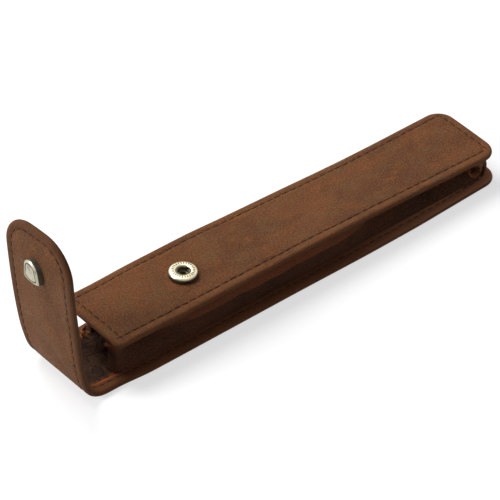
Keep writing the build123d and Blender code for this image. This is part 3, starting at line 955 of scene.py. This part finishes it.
def build_gusset():
    """The thin wall between back and front, folded in or swelled out."""
    path = gusset_path()
    levels = np.linspace(0, 1, GUSSET_LEVELS)
    folded, swelled = (table(levels, form, 80, 2) for form in (FOLDED_IN, SWELLED_OUT))
    step = np.gradient(path, axis=0)
    away = np.stack([step[:, 1], -step[:, 0]], 1)
    away /= np.linalg.norm(away, axis=1)[:, None]
    gone = np.concatenate([[0], np.cumsum(np.linalg.norm(np.diff(path, axis=0), axis=1))])
    loops, flats, worn = [], [], []
    for (x, y), (nx, ny), run in zip(path, away, gone):
        u = x - MOUTH_X
        # 0 at the two curled ends and 1 between them
        free = float(smooth((run - 5.0) / 9.0) * smooth((gone[-1] - run - 3.0) / 8.0))
        top = MOUTH_TOP - u * math.tan(FRONT_FALL) + float(front_wave(u, y)) - LINED
        near = ny < -0.5
        share = float(table(u, GUSSET_NEAR)) if near else 0.3
        depth = float(table(u, GUSSET_HOLLOW)) if near else 0.5
        out = (swelled * share + folded * (1 - share) * (0.5 + depth)) * free
        wave = 0.22 * math.sin(run * 0.21) + 0.16 * math.sin(run * 0.53 + 1)
        pleat = 0.5 * math.sin(run * 0.9) * float(smooth((u - 120) / 30)) if ny < 0.5 else 0.0
        out = out + (wave + pleat) * free * np.sin(math.pi * levels)
        out = out - 0.9 * (1 - free) * np.sin(math.pi * levels) ** 0.7
        z = LINED + (top - LINED) * levels
        foot, head = (-FLANGE, LINED - 0.1), (out[-1] - FLANGE, top + 0.1)
        section = np.concatenate([[foot], np.column_stack([out, z]), [head]])
        normal = -beside(np.gradient(section, axis=0))
        outer, inside = section + normal * GUSSET_SKIN, section - normal * GUSSET_SKIN
        loop = np.concatenate([outer, inside[::-1]])
        loops.append([(x + nx * o, y + ny * o, h) for o, h in loop])
        flats.append([(run, h * 1.1 + INSIDE_APART * (k >= len(outer)), 0)
                      for k, (_, h) in enumerate(loop)])
        # Wear at the curled ends, and painted light on the upper part of the swelled band.
        shown = share if near else 0.0
        worn.append([END_WEAR * (1 - free) * float(smooth((h - 9.5) / 3.0))
                     + SWELL_LIGHT * shown * float(smooth((h - 8.6) / 0.8)) for _, h in loop])
    faces = tube_faces(len(loops), len(loops[0]))
    points = np.array(loops).reshape(-1, 3)
    flat = np.array(flats).reshape(-1, 3)
    return make("gusset_fold", points, faces, shaded_gusset_skin, flat=flat,
                extra=edgeless(len(points), np.array(worn).ravel()))


RIBBON_SIDES = 14
RIBBON_THICK = 0.75
RIBBON_FINER = 5  # points for each one given


def ribbon(name, material, wear, width, across, path):
    """A curled strip of leather along a path, as wide as width along across."""
    path = np.array(path, float)
    t = np.linspace(0, len(path) - 1, RIBBON_FINER * (len(path) - 1) + 1)
    path = np.stack([np.interp(t, np.arange(len(path)), path[:, i]) for i in range(3)], 1)
    for _ in range(4):
        path[1:-1] = (path[:-2] + 2 * path[1:-1] + path[2:]) / 4
    across = np.array(across, float)
    across /= np.linalg.norm(across)
    step = np.gradient(path, axis=0)
    normal = np.cross(step, across)
    normal /= np.linalg.norm(normal, axis=1)[:, None]
    outline = []
    for k in range(RIBBON_SIDES):
        a = 2 * math.pi * k / RIBBON_SIDES
        outline.append((math.copysign(abs(math.cos(a)) ** 0.5, math.cos(a)), math.sin(a)))
    loops, flats = [], []
    for k, (p, nrm) in enumerate(zip(path, normal)):
        end = min(k, len(path) - 1 - k)
        slim = 1.0 if end > 1 else (0.85 if end == 1 else 0.5)
        w = width / 2 * (1 + 0.08 * math.sin(k * 0.9)) * (0.8 + 0.2 * slim)
        loops += [p + across * w * c + nrm * RIBBON_THICK / 2 * slim * s for c, s in outline]
        flats += [(k * 0.4, c * w, s) for c, s in outline]
    return make(name, np.array(loops), tube_faces(len(path), RIBBON_SIDES), material,
                flat=np.array(flats),
                extra=edgeless(len(loops), np.full(len(loops), wear)))


# (name, leather, wear, width, the way the width runs, path)
PLEATS = (
    ("pleat_lip", cover, 0.3, 2.4, (0.15, 1, 0.1),
     ((69.6, -12.2, 9.6), (69.0, -12.5, 7.9), (69.8, -12.8, 6.2), (71.5, -12.9, 5.4),
      (73.4, -12.6, 5.5), (74.8, -12.2, 6.3))),
    ("pleat_fold_a", shaded_gusset_skin, 0.12, 1.8, (0.5, 1, 0),
     ((74.6, -12.6, 10.0), (76.3, -12.7, 8.0), (76.8, -12.6, 6.0), (76.4, -12.5, 4.0),
      (75.6, -12.4, 2.6))),
    ("pleat_fold_b", shaded_gusset_skin, 0.3, 1.7, (0.9, 0.8, 0),
     ((77.2, -11.2, 9.4), (78.6, -11.0, 7.0), (78.9, -11.2, 4.6), (78.0, -11.4, 2.7))),
    ("far_tab", cover, 0.3, 1.0, (0.2, 0.5, 1),
     ((-74.8, 11.8, 3.0), (-76.2, 11.5, 2.6), (-77.6, 10.6, 2.7), (-78.2, 9.4, 3.3),
      (-77.4, 8.6, 3.9))),
    ("near_tab", shaded_gusset_skin, 0.28, 1.5, (0.25, 0.1, 1),
     ((-80.4, -11.6, 12.9), (-81.3, -10.4, 13.1), (-81.7, -8.8, 12.6), (-81.3, -7.4, 11.6),
      (-80.4, -6.7, 10.8))),
)
pleats = [ribbon(*pleat) for pleat in PLEATS]
gusset = build_gusset()
for obj in [gusset] + pleats:
    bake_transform(obj)
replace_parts(gusset, "gusset")


# Snap

LATHE_STEPS = 72
TILT = np.array([[math.cos(FRONT_FALL), 0, math.sin(FRONT_FALL)], [0, 1, 0],
                 [-math.sin(FRONT_FALL), 0, math.cos(FRONT_FALL)]])

# (radius, height, how dark) from the foot's outside, over the top, into the hole
# How dark is painted shade: on the ring's outer wall and inside its hole.
RING = [(4.7, 0.0, 1.0), (4.82, 0.4, 0.95), (4.84, 1.2, 0.9), (4.76, 1.62, 0.7),
        (4.6, 1.92, 0.3), (4.36, 2.12, 0.05), (4.0, 2.26, 0.0), (3.4, 2.34, 0.0),
        (2.9, 2.32, 0.0), (2.66, 2.24, 0.1), (2.48, 2.06, 0.45), (2.4, 1.8, 0.85),
        (2.36, 1.3, 1.0), (2.9, 1.1, 1.0), (2.9, 0.3, 1.0), (1.9, 0.25, 1.0), (1.9, 0.0, 1.0)]
TICKS = 26
TICK_HALF = 0.2
TICK_RADII = (3.0, 3.1, 3.85, 3.95)
TICK_FOOT, TICK_TOP = 2.2, 2.42


def on_snap(name, points, faces, shade_and_print):
    """A piece of the snap's ring, tilted with the front and riding on it."""
    p = np.array(points) @ TILT.T + np.array(socket_centre)
    # Painted shade on the ring, and the ticks' print, darken the metal.
    obj = make(name, p, faces, pale_metal, extra={"shade_and_print": shade_and_print})
    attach(obj, "front")
    return obj


def turned_ring():
    turns = [2 * math.pi * k / LATHE_STEPS for k in range(LATHE_STEPS)]
    points = [(r * math.cos(a), r * math.sin(a), z) for a in turns for r, z, _ in RING]
    shade_and_print = [dark for _ in turns for _, _, dark in RING]
    faces = []
    n = len(RING)
    for k in range(LATHE_STEPS):
        a, b = k * n, (k + 1) % LATHE_STEPS * n
        faces += [(a + i, b + i, b + (i + 1) % n, a + (i + 1) % n) for i in range(n)]
    return on_snap("snap_ring", points, faces, shade_and_print)


def ring_ticks():
    """Plain raised ticks round the ring."""
    points, faces = [], []
    for k in range(TICKS):
        a = 2 * math.pi * (k + 0.5) / TICKS
        first = len(points)
        for r in TICK_RADII:
            for s in (-1, -0.6, 0.6, 1):
                z = TICK_TOP if abs(s) < 1 and r in TICK_RADII[1:3] else TICK_FOOT
                t = s * TICK_HALF
                points.append((r * math.cos(a) - t * math.sin(a),
                               r * math.sin(a) + t * math.cos(a), z))
        for q in (first + 4 * i + j for i in range(3) for j in range(3)):
            faces.append((q, q + 4, q + 5, q + 1))
        faces.append([first + i for i in (0, 1, 2, 3, 7, 11, 15, 14, 13, 12, 8, 4)])
    return on_snap("snap_ring_ticks", points, faces, np.full(len(points), 1.0))


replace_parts(turned_ring(), "socket_shell")
ring_ticks()


def dress(name, material):
    """Gives a solid of the CAD its material, seen or hidden."""
    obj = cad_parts[name]
    if not len(obj.material_slots):
        obj.data.materials.append(material)
    for own in obj.material_slots:
        own.link = "OBJECT"
        own.material = material


for material, names in (
        (shield_metal, ("shield_cap",)),
        (spring_metal, ("ring_spring",)),
        (rivet_metal, ("socket_post", "cap_rivet", "stud")),
        (cover, ("back_leather", "spine_leather", "flap_leather", "front_leather")),
        (lining_skin, ("back_lining", "spine_lining", "flap_lining", "front_lining")),
        (board_fill, ("back_board", "flap_board", "front_board")),
        (shaded_gusset_skin, ("gusset",)),
        (pale_metal, ("socket_shell",))):
    for name in names:
        dress(name, material)


# Floor, light and camera

FLOOR_HALF = 6.0
FLOOR_GREY = 0.45
GLOW_FROM, GLOW_TO = 0.5, 2.5  # where the floor brightens
GLOW_NEAR, GLOW_FAR = 0.62, 0.88
ROOM_GREY = 0.24  # the light that the room itself gives
LAMP_AIM = (0, 0, 0.01)


def looked_at(nt):
    """1 where the camera or a reflection looks, and 0 for light on its way."""
    path = nt.nodes.new("ShaderNodeLightPath").outputs
    return maths(nt, "MAXIMUM", path["Is Camera Ray"],
                 maths(nt, "MAXIMUM", path["Is Glossy Ray"], path["Is Transmission Ray"]))


def floor():
    m, nt, bsdf = new_material("pale_floor")
    grey = (FLOOR_GREY,) * 3 + (1,)
    put(bsdf, {"Base Color": grey, "Roughness": 0.9, "Specular IOR Level": 0.0})
    out = next(n for n in nt.nodes if n.type == "OUTPUT_MATERIAL")
    glow = node(nt, "ShaderNodeEmission")
    away = node(nt, "ShaderNodeVectorMath", operation="LENGTH")
    link(nt, coords(nt), away.inputs[0])
    level = ramp(nt, away.outputs["Value"], GLOW_FROM, GLOW_TO, GLOW_NEAR, GLOW_FAR)
    link(nt, times(nt, looked_at(nt), level), glow.inputs["Strength"])
    both = node(nt, "ShaderNodeAddShader")
    link(nt, bsdf.outputs[0], both.inputs[0])
    link(nt, glow.outputs[0], both.inputs[1])
    link(nt, both.outputs[0], out.inputs[0])
    mesh = bpy.data.meshes.new("floor")
    s = FLOOR_HALF
    mesh.from_pydata([(-s, -s, 0), (s, -s, 0), (s, s, 0), (-s, s, 0)], [], [(0, 1, 2, 3)])
    mesh.materials.append(m)
    obj = bpy.data.objects.new("floor", mesh)
    bpy.context.scene.collection.objects.link(obj)


def stand(obj, right, up, back, place):
    """Stands a lamp or the camera at a place, with these axes."""
    m = Matrix.Identity(4)
    for i in range(3):
        m[i][0], m[i][1], m[i][2], m[i][3] = right[i], up[i], back[i], place[i]
    obj.matrix_world = m
    bpy.context.scene.collection.objects.link(obj)


def lamp(name, place, size, power):
    data = bpy.data.lights.new(name, "AREA")
    data.shape = "DISK"
    data.size = size
    data.energy = power
    back = np.array(place, float) - np.array(LAMP_AIM, float)
    back /= np.linalg.norm(back)
    side = np.cross((0, 0, 1), back)
    side /= np.linalg.norm(side)
    stand(bpy.data.objects.new(name, data), side, np.cross(back, side), back, place)


floor()
lamp("key", (-0.10, 0.80, 1.10), 0.8, 15.0)
lamp("side", (-1.20, 0.42, 0.60), 0.6, 12.5)

scene = bpy.context.scene
world = bpy.data.worlds.new("studio")
scene.world = world
world.use_nodes = True
wt = world.node_tree
wt.nodes.clear()
w_out = wt.nodes.new("ShaderNodeOutputWorld")
w_bg = wt.nodes.new("ShaderNodeBackground")
room = mix(wt, looked_at(wt), (ROOM_GREY,) * 3, (1.0,) * 3)
link(wt, room, w_bg.inputs["Color"])
link(wt, w_bg.outputs[0], w_out.inputs[0])

# The camera that fits the photograph
AZIMUTH, ELEVATION = math.radians(-39.6), math.radians(39.92)
AIM = np.array([-82.3, 0, 0])
SHIFT_RIGHT, SHIFT_UP, DISTANCE = 50.93, 35.38, 954.0
cam_back = np.array([math.sin(AZIMUTH) * math.cos(ELEVATION),
                     -math.cos(AZIMUTH) * math.cos(ELEVATION), math.sin(ELEVATION)])
cam_right = np.array([math.cos(AZIMUTH), math.sin(AZIMUTH), 0.0])
cam_up = np.cross(cam_back, cam_right)
eye = (cam_right * SHIFT_RIGHT + cam_up * SHIFT_UP + cam_back * DISTANCE + AIM) * MM
camera = bpy.data.cameras.new("photo_view")
camera.lens = 216.0
camera.sensor_width = 36.0
camera.clip_start = 0.01
camera.clip_end = 20.0
cam = bpy.data.objects.new("photo_view", camera)
stand(cam, cam_right, cam_up, cam_back, eye)
scene.camera = cam
scene.view_settings.view_transform = "Standard"
